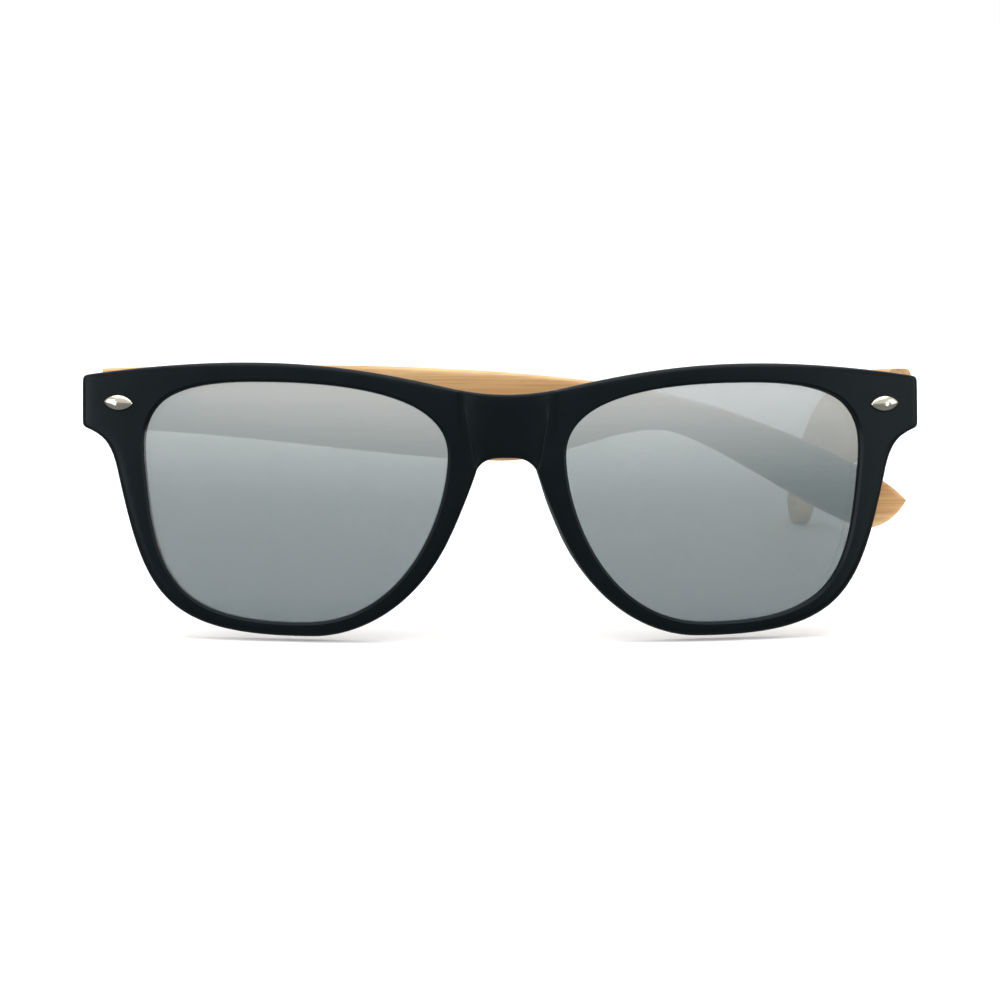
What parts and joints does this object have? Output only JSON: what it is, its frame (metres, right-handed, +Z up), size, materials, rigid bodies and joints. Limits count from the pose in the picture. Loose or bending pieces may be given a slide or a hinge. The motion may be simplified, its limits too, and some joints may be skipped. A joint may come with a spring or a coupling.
{
  "type": "sunglasses",
  "caption": "Folding sunglasses with a moulded black front, silver mirror lenses, oval metal studs and flat bamboo temples on screw hinges.",
  "frame": {"origin": "the nose saddle, at the back of the bridge's underside on the mid-plane", "axes": "+Z up as it stands on a table, -Y the way the lenses face, +X to the wearer's left"},
  "size_m": [0.145, 0.157, 0.0472],
  "materials": {
    "front": "satin black moulding",
    "lens": "silver mirror coat on grey plastic",
    "bamboo": "clear-sealed bamboo",
    "stud": "polished nickel",
    "hinge": "plain steel"
  },
  "bodies": {
    "front": {"front_frame": "front", "lens_left": "lens", "lens_right": "lens", "stud_left": "stud", "stud_right": "stud", "front_leaf_left": "hinge", "front_leaf_right": "hinge", "hinge_screw_left": "hinge", "hinge_screw_right": "hinge"},
    "left_temple": {"temple_leaf_left": "hinge", "temple_left": "bamboo", "leaf_screw_left_front": "hinge", "leaf_screw_left_back": "hinge"},
    "right_temple": {"temple_leaf_right": "hinge", "temple_right": "bamboo", "leaf_screw_right_front": "hinge", "leaf_screw_right_back": "hinge"}
  },
  "joints": [
    {"name": "left_temple_fold", "type": "hinge", "parent": "front", "child": "left_temple", "pos_m": [0.0665, 0.01694, 0.00765], "axis": [0, 0.1305, 0.9914], "range_deg": [0, 87.8]},
    {"name": "right_temple_fold", "type": "hinge", "parent": "front", "child": "right_temple", "pos_m": [-0.0665, 0.01694, 0.00765], "axis": [0, -0.1305, -0.9914], "range_deg": [-92.2, 0]}
  ]
}
